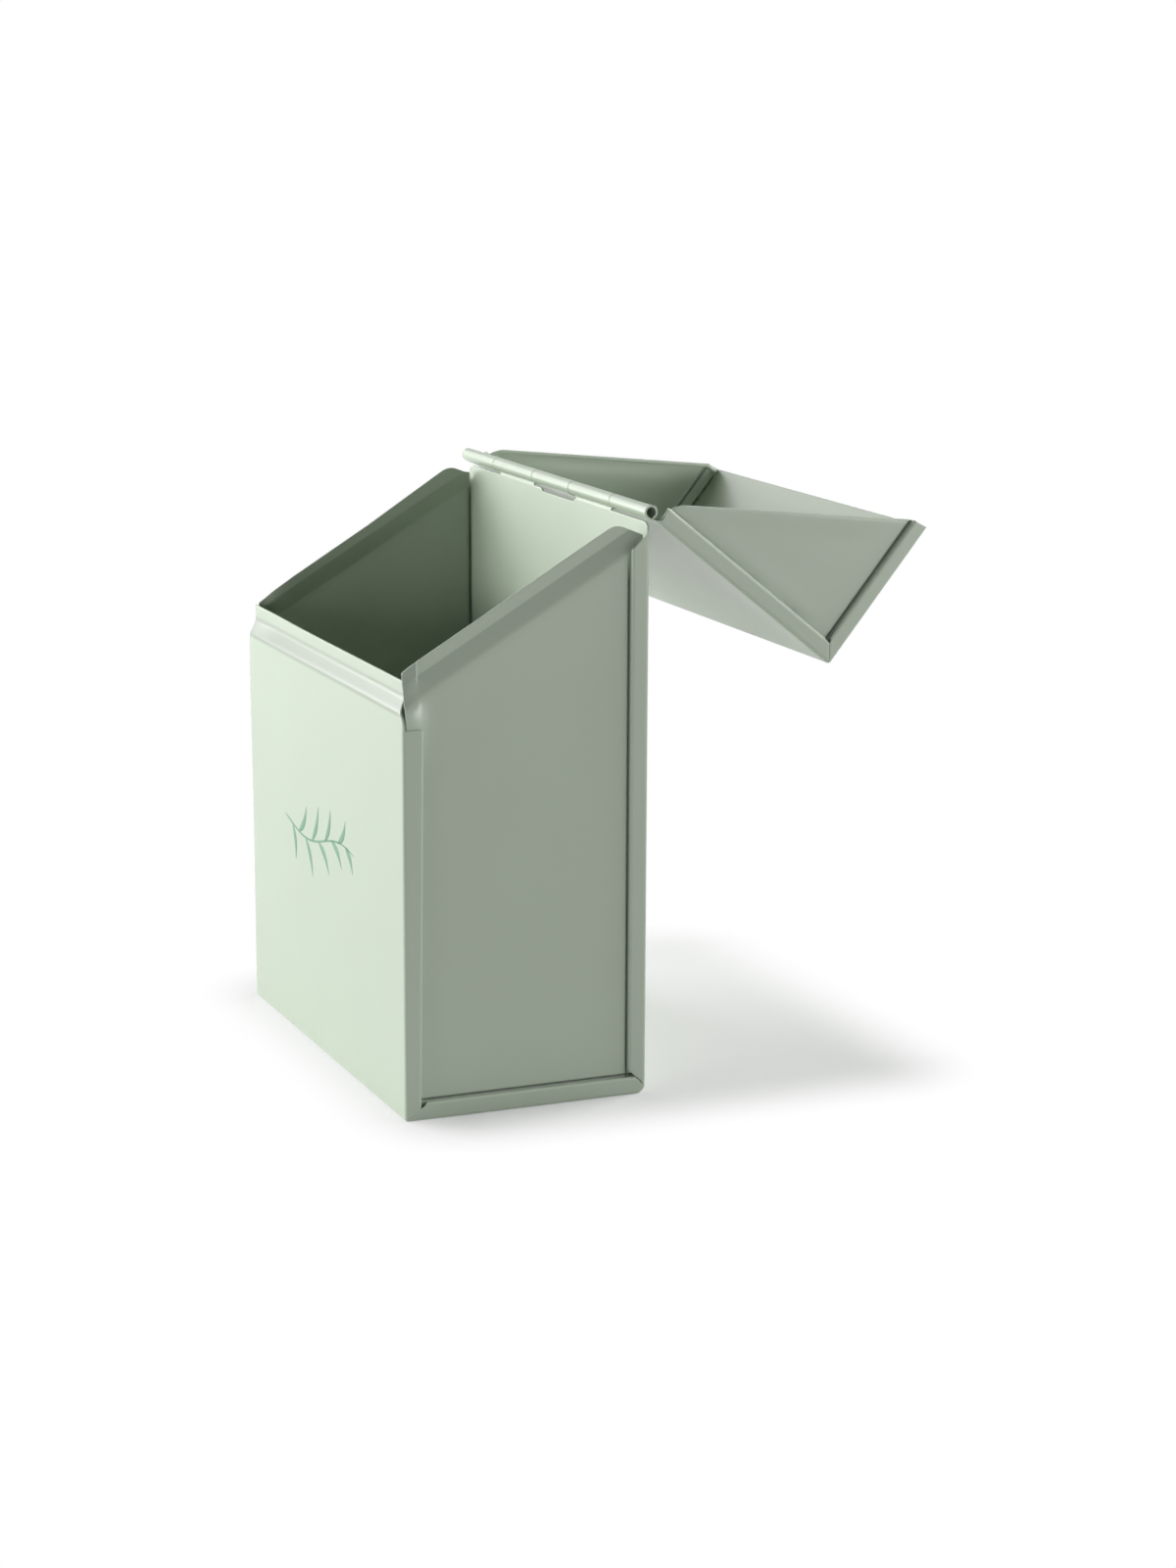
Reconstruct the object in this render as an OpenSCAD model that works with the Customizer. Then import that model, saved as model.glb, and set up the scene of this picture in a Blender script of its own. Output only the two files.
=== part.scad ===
// Garden seed organizer box: folded and painted sheet steel with a hinged, three-sided lid.
// The origin is the centre of the underside. X runs along the width, -Y is the front and +Z is up.
// The lid is drawn closed about the hinge axis and then swung to lid_open, the pose that it rests in.

/* [Sheet] */
// Thickness of every sheet
sheet_t = 0.6; // [0.4:0.1:0.8]
// Outer radius of the fold between a face and its side flanges
edge_bend_r = 0.9; // [0.6:0.1:1.5]

/* [Body] */
// Outer width over the side flanges
body_w = 160; // [110:5:240]
// Outer depth from the front face to the back face
body_d = 84; // [60:2:120]
// Height of the front face up to its shoulder
front_h = 133.5; // [90:0.5:180]
// Angle at which the sides rise towards the back
slope = 30.5; // [18:0.5:36]
// Height of the back panel above the upper end of the slanted shoulder
back_rise = 6.4; // [5:0.2:12]
// Outer radius of the fold between front and bottom
front_bend_r = 1; // [0.8:0.1:3]
// Outer radius of the fold between bottom and back
back_bend_r = 3; // [1:0.1:4]
// Radius of the back panel's two top corners
back_corner_r = 3.5; // [1:0.5:6]

/* [Rim] */
// Distance that the rims are pressed in from the faces below them
rim_inset = 2.2; // [1.2:0.1:3]
// Height of the leaning shoulder on the front
front_shoulder_h = 4.2; // [3:0.1:6]
// Height of the upright rim on the front
front_rim_h = 5.1; // [3:0.1:8]
// Height of the leaning shoulder on the sides, square to the slope
side_shoulder_h = 6.2; // [4:0.1:8]
// Height of the upright rim on the sides, square to the slope
side_rim_h = 4; // [3:0.1:6]
// Width of the front end of each side rim, which leans over its whole height
tab_w = 4.9; // [3:0.1:8]
// Distance from the back face to the point where a side rim turns down
rim_drop_d = 10; // [7:0.5:16]
// Angle at which a side rim falls behind that point
rim_drop = 23; // [10:1:40]
// Radius of that turn
rim_corner_r = 4; // [2:0.5:6]

/* [Seams] */
// Width of the body's side flanges
flange_w = 6; // [5:0.5:9]
// Distance from the front shoulder down to the squared end of the front flange
front_flange_drop = 5.6; // [3:0.1:12]
// Height of the back flange's free edge above the slanted shoulder
back_flange_rise = 1.5; // [0.5:0.1:3]
// Gap between a panel's edge and the wall that it faces
panel_gap = 0.7; // [0.3:0.1:1.2]
// Gap that a flange's hook leaves to the panel border that it grips
hook_gap = 0.3; // [0.2:0.05:0.5]
// Width of the slit in the flanges at the lower front corners
front_mitre = 0.15; // [0.1:0.05:0.5]
// Width of the slit in the flanges at the lower back corners
back_mitre = 0.4; // [0.1:0.05:0.8]

/* [Hinge] */
// Outer diameter of the rolled knuckles
barrel_d = 4.5; // [4:0.1:6]
// Distance of the hinge axis in front of the back face
hinge_setback = 0.3; // [0.1:0.1:0.5]
// Height of the hinge axis above the back panel's top edge
hinge_rise = 3.5; // [3.4:0.1:4.5]
// Gap between neighbouring knuckles
knuckle_gap = 0.4; // [0.2:0.1:1]
// Width cut away from each side of a knuckle's root
knuckle_relief = 2.5; // [1:0.5:4]
// Radial clearance of the pin in the knuckles
pin_clear = 0.05; // [0.02:0.01:0.1]
// Depth of the pin's ends inside the barrel
pin_recess = 8; // [2:1:20]
// Angle left open between a knuckle's rolled edge and its root
roll_open = 40; // [20:5:60]

/* [Lid] */
// Distance that the lid stands proud of the body on each side
lid_proud = 1.6; // [1.4:0.1:2.5]
// Height of the lid's outer face above the hinge axis when closed
lid_top_rise = 1.15; // [0.9:0.05:1.4]
// Height of the front shoulder's foot below the closed lid's lower edge
lid_reveal = 4.9; // [4.7:0.1:8]
// Width of the lid's side flanges along its top
lid_top_flange_w = 6.1; // [5:0.1:8]
// Width of the lid's side flanges along its front
lid_front_flange_w = 5.3; // [5:0.1:8]
// Distance from the hinge axis to the flanges' ends
lid_flange_start = 4.3; // [3.6:0.1:6]
// Radius of the bite in those ends
lid_flange_bite_r = 3.6; // [2:0.1:6]
// Depth of that bite
lid_flange_bite = 0.7; // [0.2:0.1:1.5]
// Length of the root over which the lid's sheet steps down from its knuckles
lid_root_len = 6; // [4:0.5:9]
// Distance from the hinge axis to the lid's edge between its knuckles
lid_notch = 3.2; // [3:0.1:4]
// Outer radius of the fold between the lid's top and front
lid_bend_r = 0.9; // [0.8:0.1:3]
// Width of the slit in the flanges at the lid's corners
lid_mitre = 0.2; // [0.1:0.05:0.5]
// Distance from the hinge axis to the gussets
gusset_start = 5.2; // [4.6:0.1:8]
// Depth of the gussets' hinge ends below the hinge axis
gusset_back_h = 6.6; // [6:0.1:9]
// Radius of the gussets' corners beside the hinge
gusset_corner_r = 3; // [1:0.5:4]
// Height of the gussets' tips above the lid front's lower edge
gusset_tip_rise = 0.7; // [0.3:0.1:2]
// Angle that the lid is swung back from its closed pose
lid_open = 218.9; // [0:0.1:218.9]

/* [Hidden] */
$fn = 64;

// Overrun of every cut past the face that it starts from
over = 1;
// Lengthwise places of the knuckles' ends, as shares of half the barrel's length
knuckle_share = [-1, -0.635, -0.207, 0.207, 0.635, 1];
// Steps in each drawn arc
arc_steps = 10;

half_w = body_w / 2;
half_d = body_d / 2;

// A seam is three sheets thick: the flange, the panel's border and the flange's hook behind it
seam_t = 3 * sheet_t;
bead_r = seam_t / 2;
// Distances from the outer faces to a panel's fold, to the hook's end and to the closed part of a seam
fold_end = 2 * sheet_t + panel_gap;
hook_end = fold_end + hook_gap;
grip_w = 2 * bead_r + hook_gap;

// Side panels: their outer face lies under the hook
panel_x = half_w - seam_t;
panel_front_y = -half_d + sheet_t + panel_gap;
panel_back_y = half_d - sheet_t - panel_gap;
side_rim_top = side_shoulder_h + side_rim_h;

// Height of the slanted shoulder at depth y
function shoulder_z(y) = front_h + (y + half_d) * tan(slope);

back_h = shoulder_z(half_d) + back_rise;
hinge_y = half_d - hinge_setback;
hinge_z = back_h + hinge_rise;
front_flange_top = front_h - front_flange_drop;
back_flange_y = half_d - flange_w;
back_flange_top = shoulder_z(back_flange_y) + back_flange_rise;

barrel_r = barrel_d / 2;
bore_r = barrel_r - sheet_t;
pin_r = bore_r - pin_clear;
lid_half_w = half_w + lid_proud;

// The closed lid, seen from the hinge axis: distance forward to its front face and down to its edge
lid_len = hinge_y + half_d;
lid_drop = hinge_z - front_h - lid_reveal;
gusset_x = lid_half_w - seam_t;
gusset_front = lid_len - sheet_t - panel_gap;
gusset_tip = lid_drop - gusset_tip_rise;
gusset_knee = lid_len - lid_front_flange_w;

// Points on the arc of radius r that rounds the corner q between points p and s
function unit(v) = v / norm(v);
function corner(p, q, s, r) =
    let (a = unit(p - q), b = unit(s - q),
         half = acos(a * b) / 2,
         centre = q + unit(a + b) * r / sin(half),
         from = q + a * r / tan(half) - centre,
         to = q + b * r / tan(half) - centre,
         a0 = atan2(from.y, from.x),
         turn = (atan2(to.y, to.x) - a0 + 540) % 360 - 180)
    [for (i = [0:arc_steps]) centre + r * [cos(a0 + turn * i / arc_steps), sin(a0 + turn * i / arc_steps)]];

// A drawing of depth and height, extruded across the width from x0 to x1
module across(x0, x1) {
    rotate([90, 0, 90])
        translate([0, 0, x0])
            linear_extrude(height = x1 - x0)
                children();
}

module on_both_sides() {
    children();
    mirror([1, 0, 0])
        children();
}

// What is cut from a square corner at the origin to round it
module corner_cut(r) {
    difference() {
        translate([-over, -over])
            square(r + over);
        translate([r, r])
            circle(r);
    }
}

// The round edge of a folded sheet that runs between two points of depth and height
module bead(x, p, q, r) {
    run = q - p;
    translate([x, p.x, p.y])
        rotate([-atan2(run.x, run.y), 0, 0])
            cylinder(h = norm(run), r = r);
}

// The thin cut of a mitre from its corner p to just past point q, drawn in depth and height
module slit(p, q, gap) {
    translate(p)
        rotate(atan2(q.y - p.y, q.x - p.x))
            translate([-over, -gap / 2])
                square([over + norm(q - p) + bead_r / 2, gap]);
}

// One rolled knuckle about the origin, open from angle start onwards
module knuckle(x0, x1, start) {
    across(x0, x1)
        difference() {
            circle(barrel_r);
            circle(bore_r);
            polygon([[0, 0], for (a = [start, start + roll_open]) barrel_d * [cos(a), sin(a)]]);
        }
}

// Calls its children with the ends of every second knuckle, starting at the given one
module for_knuckles(first) {
    for (i = [first:2:4]) {
        $x0 = lid_half_w * knuckle_share[i] + (i > 0 ? knuckle_gap / 2 : 0);
        $x1 = lid_half_w * knuckle_share[i + 1] - (i < 4 ? knuckle_gap / 2 : 0);
        $root0 = i > 0 ? $x0 + knuckle_relief : $x0;
        $root1 = i < 4 ? $x1 - knuckle_relief : $x1;
        children();
    }
}

// Section through front, bottom and back, with the front's shoulder and rim
module wrap_section() {
    lean = atan2(rim_inset, front_shoulder_h);
    slip = sheet_t * tan(lean / 2);
    shoulder_top = front_h + front_shoulder_h;
    rim_top = shoulder_top + front_rim_h;
    rim_y = -half_d + rim_inset;
    difference() {
        union() {
            polygon([
                [-half_d, 0],
                [-half_d, front_h],
                [rim_y, shoulder_top],
                [rim_y, rim_top],
                [rim_y + sheet_t, rim_top],
                [rim_y + sheet_t, shoulder_top - slip],
                [-half_d + sheet_t, front_h - slip],
                [-half_d + sheet_t, 0]
            ]);
            translate([-half_d, 0])
                square([body_d, sheet_t]);
            translate([half_d - sheet_t, 0])
                square([sheet_t, back_h]);
            translate([half_d - back_bend_r, 0])
                square(back_bend_r);
        }
        translate([half_d - back_bend_r, back_bend_r])
            circle(back_bend_r - sheet_t);
        translate([-half_d, 0])
            corner_cut(front_bend_r);
        translate([half_d, 0])
            mirror([1, 0])
                corner_cut(back_bend_r);
    }
}

// Outline of the front above its flanges: its shoulder narrows to pass between the side panels
module front_outline() {
    rim_x = panel_x - sheet_t - rim_inset - pin_clear;
    rim_foot = front_h + front_shoulder_h / 2;
    rim_top = front_h + front_shoulder_h + front_rim_h;
    polygon([
        [-half_w, 0],
        [half_w, 0],
        [half_w, front_h],
        [rim_x, rim_foot],
        [rim_x, rim_top + over],
        [-rim_x, rim_top + over],
        [-rim_x, rim_foot],
        [-half_w, front_h]
    ]);
}

// Outline of the body's flanges up to the middle of their round edges
module body_flange_outline() {
    edge = flange_w - bead_r;
    cut_top = back_flange_top + edge;
    front = -half_d + edge;
    back = half_d - edge;
    polygon([[-half_d, 0], [front, edge], [front, front_flange_top], [-half_d, front_flange_top]]);
    polygon([[-half_d, 0], [half_d, 0], [back, edge], [front, edge]]);
    polygon([
        [half_d, 0],
        [half_d, cut_top],
        [half_d - sheet_t, cut_top],
        [back, back_flange_top + bead_r],
        [back, edge]
    ]);
}

// The three flanges that fold round one side panel, drawn on the +X side
module body_flanges() {
    edge = flange_w - bead_r;
    front = -half_d + edge;
    back = half_d - edge;
    bead_x = half_w - bead_r;
    difference() {
        union() {
            across(half_w - sheet_t, half_w)
                body_flange_outline();
            across(half_w - seam_t, half_w - 2 * sheet_t)
                intersection() {
                    body_flange_outline();
                    translate([-half_d + hook_end, hook_end])
                        square([body_d - 2 * hook_end, back_h]);
                }
            bead(bead_x, [front, edge + bead_r], [front, front_flange_top], bead_r);
            bead(bead_x, [front + bead_r, edge], [back - bead_r, edge], bead_r);
            bead(bead_x, [back, edge + bead_r], [back, back_flange_top], bead_r);
        }
        across(half_w - seam_t - over, half_w + over) {
            slit([-half_d, 0], [front, edge], front_mitre);
            slit([half_d, 0], [back, edge], back_mitre);
            translate([-half_d, 0])
                corner_cut(front_bend_r);
            translate([half_d, 0])
                mirror([1, 0])
                    corner_cut(back_bend_r);
        }
    }
}

module body_sheet() {
    color([0.80, 0.84, 0.79])
        union() {
            difference() {
                union() {
                    difference() {
                        across(-half_w, half_w)
                            wrap_section();
                        // The front beside and above the outline of its shoulder and rim
                        difference() {
                            translate([-half_w - over, -half_d - over, front_flange_top])
                                cube([body_w + 2 * over, half_d, front_h]);
                            rotate([90, 0, 0])
                                linear_extrude(height = body_d + 2 * over, center = true)
                                    front_outline();
                        }
                    }
                    on_both_sides()
                        body_flanges();
                }
                on_both_sides() {
                    // Folds between the faces and their flanges
                    for (turn = [0, 1])
                        translate([half_w, turn == 0 ? -half_d : half_d, -over])
                            rotate(90 + 90 * turn)
                                linear_extrude(height = back_h + 2 * over)
                                    corner_cut(edge_bend_r);
                    translate([half_w, half_d + over, 0])
                        rotate([90, 0, 0])
                            linear_extrude(height = body_d + 2 * over)
                                mirror([1, 0])
                                    corner_cut(edge_bend_r);
                    // Top corners of the back panel
                    translate([half_w, half_d + over, back_h])
                        rotate([90, 0, 0])
                            linear_extrude(height = sheet_t + 2 * over)
                                rotate(180)
                                    corner_cut(back_corner_r);
                }
            }
            for_knuckles(1) {
                translate([0, hinge_y, hinge_z])
                    knuckle($x0, $x1, -80);
                across($root0, $root1)
                    difference() {
                        translate([half_d - sheet_t, back_h - sheet_t])
                            square([sheet_t, hinge_rise]);
                        translate([hinge_y, hinge_z])
                            circle(bore_r);
                    }
            }
        }
}

// Cut through a side panel square to its slope: plate, leaning shoulder and upright rim
module panel_section(shoulder, rim) {
    lean = atan2(rim_inset, shoulder);
    slip = sheet_t * tan(lean / 2);
    polygon([
        [panel_x, -back_h],
        [panel_x, 0],
        [panel_x - rim_inset, shoulder],
        [panel_x - rim_inset, shoulder + rim],
        [panel_x - rim_inset - sheet_t, shoulder + rim],
        [panel_x - rim_inset - sheet_t, shoulder - slip],
        [panel_x - sheet_t, -slip],
        [panel_x - sheet_t, -back_h]
    ]);
}

// Outline of a side panel in depth and height
module panel_outline() {
    rise = side_rim_top / cos(slope);
    turn_y = half_d - rim_drop_d;
    front_top = [panel_front_y, shoulder_z(panel_front_y) + rise];
    peak = [turn_y, shoulder_z(turn_y) + rise];
    back_top = [panel_back_y, peak.y - (panel_back_y - turn_y) * tan(rim_drop)];
    difference() {
        polygon(concat(
            [[panel_front_y, sheet_t], front_top],
            corner(front_top, peak, back_top, rim_corner_r),
            [back_top, [panel_back_y, sheet_t]]));
        translate([half_d - sheet_t, sheet_t])
            mirror([1, 0])
                corner_cut(back_bend_r);
    }
}

// The slanted section of a side panel, swept along the slope between two depths
module slanted(shoulder, rim, y0, y1) {
    intersection() {
        translate([0, -half_d, front_h])
            rotate([slope, 0, 0])
                rotate([90, 0, 0])
                    linear_extrude(height = 2 * (body_d + front_h + back_h), center = true)
                        panel_section(shoulder, rim);
        across(0, half_w)
            intersection() {
                panel_outline();
                translate([y0, -over])
                    square([y1 - y0, back_h + 2 * over]);
            }
    }
}

// Borders of a side panel that lie within distance d of the box's outer faces
module panel_border(d) {
    intersection() {
        panel_outline();
        difference() {
            union() {
                translate([-half_d, 0])
                    square([half_d, front_flange_top]);
                square([half_d, shoulder_z(half_d - flange_w) - flange_w]);
            }
            translate([-half_d + d, d])
                square([body_d - 2 * d, back_h]);
        }
    }
}

// The right-hand side panel
module side_panel() {
    tab_end = panel_front_y + tab_w;
    union() {
        slanted(side_rim_top, side_rim_top, panel_front_y, tab_end);
        slanted(side_shoulder_h, 2 * side_rim_top, tab_end, panel_back_y);
        // The borders folded out beside the walls, and then inward between flange and hook
        across(panel_x - sheet_t / 2, half_w - sheet_t)
            panel_border(fold_end);
        across(half_w - 2 * sheet_t, half_w - sheet_t)
            panel_border(flange_w - grip_w);
    }
}

module side_panel_right() {
    color([0.60, 0.65, 0.57])
        side_panel();
}

module side_panel_left() {
    color([0.60, 0.65, 0.57])
        mirror([1, 0, 0])
            side_panel();
}

// Swings a part drawn on the closed lid, with the hinge axis at the origin, to its open pose
module on_lid() {
    translate([0, hinge_y, hinge_z])
        rotate([-lid_open, 0, 0])
            children();
}

// Section through the lid's edge, from forward distance start on: it leaves the barrel's top and steps down
module root_section(start) {
    step = barrel_r - lid_top_rise;
    bend = (lid_root_len * lid_root_len + step * step) / (4 * step);
    sweep = 2 * atan2(step, lid_root_len);
    top = [for (i = [0:arc_steps])
        let (a = sweep * i / arc_steps)
        [-bend * sin(a), barrel_r - bend * (1 - cos(a))]];
    foot = [for (i = [arc_steps - 1:-1:0])
        let (a = sweep * i / arc_steps)
        [-lid_root_len + bend * sin(a), lid_top_rise + bend * (1 - cos(a))]];
    outer = concat(top, foot);
    count = len(outer);
    intersection() {
        polygon(concat(outer, [for (i = [count - 1:-1:0]) outer[i] - [0, sheet_t]]));
        translate([-lid_root_len, 0])
            square([lid_root_len - start, barrel_d]);
    }
}

// Top and front of the lid in depth and height
module lid_section() {
    difference() {
        union() {
            translate([-lid_len, lid_top_rise - sheet_t])
                square([lid_len - lid_root_len, sheet_t]);
            translate([-lid_len, -lid_drop])
                square([sheet_t, lid_drop + lid_top_rise]);
        }
        translate([-lid_len, lid_top_rise])
            mirror([0, 1])
                corner_cut(lid_bend_r);
    }
}

// Outline of the lid's flanges up to the middle of their round edges
module lid_flange_outline(low, inner) {
    polygon([
        [-lid_len, lid_top_rise],
        [-lid_flange_start, lid_top_rise],
        [-lid_flange_start, low],
        [inner, low]
    ]);
    polygon([[-lid_len, lid_top_rise], [inner, low], [inner, -gusset_tip], [-lid_len, -lid_drop]]);
}

// The two flanges on the lid's +X side
module lid_flanges() {
    low = lid_top_rise - lid_top_flange_w + bead_r;
    inner = -lid_len + lid_front_flange_w - bead_r;
    bead_x = lid_half_w - bead_r;
    bite_y = lid_flange_bite_r - lid_flange_start - lid_flange_bite;
    difference() {
        union() {
            across(lid_half_w - sheet_t, lid_half_w)
                lid_flange_outline(low, inner);
            across(lid_half_w - seam_t, lid_half_w - 2 * sheet_t)
                intersection() {
                    lid_flange_outline(low, inner);
                    translate([-lid_len + hook_end, lid_top_rise - hook_end - lid_drop])
                        square([lid_len, lid_drop]);
                }
            bead(bead_x, [inner + bead_r, low], [-lid_flange_start, low], bead_r);
            bead(bead_x, [inner, -gusset_tip], [inner, low - bead_r], bead_r);
        }
        across(lid_half_w - seam_t - over, lid_half_w + over) {
            slit([-lid_len, lid_top_rise], [inner, low], lid_mitre);
            translate([-lid_len, lid_top_rise])
                mirror([0, 1])
                    corner_cut(lid_bend_r);
            translate([bite_y, lid_top_rise - lid_top_flange_w / 2])
                circle(lid_flange_bite_r);
        }
    }
}

module lid_sheet() {
    color([0.72, 0.75, 0.70])
        on_lid()
            union() {
                difference() {
                    union() {
                        across(-lid_half_w, lid_half_w) {
                            lid_section();
                            root_section(lid_notch);
                        }
                        on_both_sides()
                            lid_flanges();
                    }
                    // Folds between the faces and their flanges
                    on_both_sides() {
                        translate([lid_half_w, -lid_len, -lid_drop - over])
                            rotate(90)
                                linear_extrude(height = lid_drop + 2 * over + lid_top_rise)
                                    corner_cut(edge_bend_r);
                        translate([lid_half_w, 0, lid_top_rise])
                            rotate([90, 0, 0])
                                linear_extrude(height = lid_len + over)
                                    rotate(180)
                                        corner_cut(edge_bend_r);
                    }
                }
                for_knuckles(0) {
                    knuckle($x0, $x1, 98);
                    across($root0, $root1)
                        root_section(0);
                }
            }
}

// The long edge of a gusset, moved inward by d, as its ends beside the hinge and at the tip
function gusset_edge(d) =
    let (heel = [-gusset_start, -gusset_back_h],
         knee = [-gusset_knee, -gusset_tip],
         long = unit(knee - heel),
         foot = heel + d * [long.y, -long.x])
    [foot + long * (-gusset_start - foot.x) / long.x, foot + long * (-gusset_tip - foot.y) / long.y];

// Outline of a gusset in depth and height, with its long edge moved inward by d
module gusset_outline(d) {
    top = lid_top_rise - sheet_t;
    edge = gusset_edge(d);
    polygon(concat(
        [[-gusset_front, top], [-gusset_start, top]],
        corner([-gusset_start, top], edge[0], edge[1], gusset_corner_r),
        [edge[1], [-gusset_front, -gusset_tip]]));
}

// The right-hand gusset of the closed lid, its long edge rolled inward
module gusset() {
    top = lid_top_rise - sheet_t;
    roll_r = sheet_t;
    edge = gusset_edge(roll_r);
    long = unit(edge[1] - edge[0]);
    union() {
        across(gusset_x - sheet_t, gusset_x)
            gusset_outline(roll_r);
        bead(gusset_x - sheet_t, edge[0] + long * gusset_corner_r, edge[1] - long * roll_r, roll_r);
        // The borders folded out beside the lid's sheet, and then inward between flange and hook
        across(gusset_x - sheet_t / 2, lid_half_w - sheet_t) {
            translate([-gusset_front, top - sheet_t])
                square([gusset_front - gusset_start, sheet_t]);
            translate([-gusset_front, -gusset_tip])
                square([sheet_t, gusset_tip + top]);
        }
        across(lid_half_w - 2 * sheet_t, lid_half_w - sheet_t) {
            translate([-gusset_front, lid_top_rise - lid_top_flange_w + grip_w])
                square([gusset_front - gusset_start, lid_top_flange_w - grip_w - sheet_t]);
            translate([-gusset_front, -gusset_tip])
                square([lid_front_flange_w - grip_w - lid_len + gusset_front, gusset_tip + top]);
        }
    }
}

module lid_gusset_right() {
    color([0.63, 0.68, 0.60])
        on_lid()
            gusset();
}

module lid_gusset_left() {
    color([0.63, 0.68, 0.60])
        on_lid()
            mirror([1, 0, 0])
                gusset();
}

module hinge_pin() {
    color([0.55, 0.56, 0.55])
        translate([0, hinge_y, hinge_z])
            rotate([0, 90, 0])
                cylinder(h = 2 * (lid_half_w - pin_recess), r = pin_r, center = true);
}

body_sheet();
side_panel_right();
side_panel_left();
lid_sheet();
lid_gusset_right();
lid_gusset_left();
hinge_pin();
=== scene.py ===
"""Tall organizer box of folded and painted sheet steel: its looks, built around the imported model.

Shapes are worked out in millimetres and become metres when a mesh is made. Each sheet of the box is drawn
as grids of points on its outer skin. Some cells of a grid are left out, and Solidify gives the sheet its
wall. The two side panels are drawn with both of their skins.
"""
import math

import bmesh
import bpy
import numpy as np
from mathutils import Euler, Matrix, Vector


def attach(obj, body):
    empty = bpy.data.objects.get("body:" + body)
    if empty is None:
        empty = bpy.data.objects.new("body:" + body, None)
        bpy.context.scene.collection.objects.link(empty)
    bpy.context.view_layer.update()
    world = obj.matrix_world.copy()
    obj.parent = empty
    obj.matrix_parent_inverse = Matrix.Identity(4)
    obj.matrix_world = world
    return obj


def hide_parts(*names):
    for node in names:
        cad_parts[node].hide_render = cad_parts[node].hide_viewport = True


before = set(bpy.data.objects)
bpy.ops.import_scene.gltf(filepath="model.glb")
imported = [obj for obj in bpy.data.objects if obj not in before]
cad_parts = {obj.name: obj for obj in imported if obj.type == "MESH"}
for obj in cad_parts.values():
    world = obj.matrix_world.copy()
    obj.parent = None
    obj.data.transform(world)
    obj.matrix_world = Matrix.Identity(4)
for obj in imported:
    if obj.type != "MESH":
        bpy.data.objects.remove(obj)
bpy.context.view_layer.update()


MM = 0.001

# Sheet and folds
WALL = 0.6
FOLD_R = 0.95
BEAD_R = 0.9
HOOK_END = 2.2
SOFT_EDGE = 0.16
SOFT_FROM = math.radians(50)
MERGE_GAP = 0.004
FOLD_STEPS = 6
BEAD_STEPS = 10

# Unevenness of the sheets: its three wave lengths, and a phase and depth for each (1 right, -1 left)
BOW_WAVES = (37.0, 29.0, 53.0)
FRONT_BOW = (1, 0.2)
BACK_BOW = (2, 0.3)
PANEL_BOWS = {1: (3, 0.45), -1: (4, 0.45)}
LID_TOP_BOW = (5, 0.4)
LID_FRONT_BOW = (6, 0.35)
GUSSET_BOWS = {1: (7, 0.4), -1: (8, 0.4)}

# Body
HALF_W = 80.0
HALF_D = 42.0
FRONT_H = 133.5
SLOPE = math.radians(30.5)
BACK_H = FRONT_H + 2 * HALF_D * math.tan(SLOPE) + 6.4
FRONT_BEND_R = 1.2
BACK_BEND_R = 3.0
BACK_CORNER_R = 3.6
RIGHT_TAPER = 4.65
RIGHT_TAPER_Z = (128.5, 138.5)
LEFT_SWELL = 1.4
LEFT_SWELL_Z = (60, 126)
LEFT_TAPER = 3.1
LEFT_TAPER_Z = (130.5, 137.5)
FOLD_MARKS = (-78, -77, -76.4, 76.4, 77, 78)
FLANGE_W = 6.0
FRONT_FLANGE_TOP = 127.9
BACK_FLANGE_TOP = 185.6
BACK_FLANGE_SLOPE = 0.93
FLARE_TOP = 1.25
FLARE_LOW = -0.4
MITRE_START = 1.45
MITRE_SLOPE = 0.62
MITRE_CREASE = 0.05
CORNER_START = 36.0
SLIT_LOW = 2.1
SLIT_GAP = 0.25
SLIT_SPREAD = 0.3
BOTTOM_LIFT = 0.25
NOTCH_LEFT = (-10.6, -9.6)
NOTCH_RIGHT = (18.1, 18.8)
NOTCH_DEPTH = 1.0

# Side panels
PANEL_X = HALF_W - 2 * BEAD_R
PANEL_GAP = 0.7
PLATE_GROOVE = 0.45
PLATE_SINK = 0.05
SEAM_JOG = 1.5
SEAM_JOG_Z = (125.9, 127.5, 133, 137)
LOW_ROWS = (7.6, 7.3, 7.1, 6.9, 6.7, 6.5, 6.3, 6.1, 5.9, 5.7, 5.4, 5, 4, 2, 0.7)

# Rims
RIM_INSET = 2.2
FRONT_SHOULDER_H = 4.2
FRONT_RIM_H = 5.1
SIDE_SHOULDER_H = 6.2
SIDE_RIM_H = 4.0
SHOULDER_R = 1.6
FRONT_SHOULDER_R = 2.5 * SHOULDER_R
RIM_CURL = 0.85
RIM_CURL_Z = (131, 137)
LEFT_RIM_RISE = 0.8
LEFT_RIM_PULL = 0.27
LEFT_RIM_PULL_X = (55, 79)
LEFT_OUTLINE_Y = (-41, -27, 1, 29, 38, 41)
LEFT_OUTLINE_RISE = (-1.9, -1.0, -0.7, 0.7, 1.1, 1.8)
TAB_W = 4.9
TAB_LEAN = 1.7
RIM_DROP_D = 10.0
RIM_DROP = math.radians(23)
RIM_PEAK_BLEND = 3.0

# Shares of painted shade, which darkens the colour: on the right tab and the side shoulders where less
# light falls, on the side panels' edges and inner skins, and on the front's shoulder band where it tones
# down a highlight
TAB_SHADE = 0.34
SHOULDER_SHADE = 0.2
EDGE_SHADE = 0.3
INSIDE_SHADE = 0.2
FRONT_SHADE = 0.48

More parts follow.
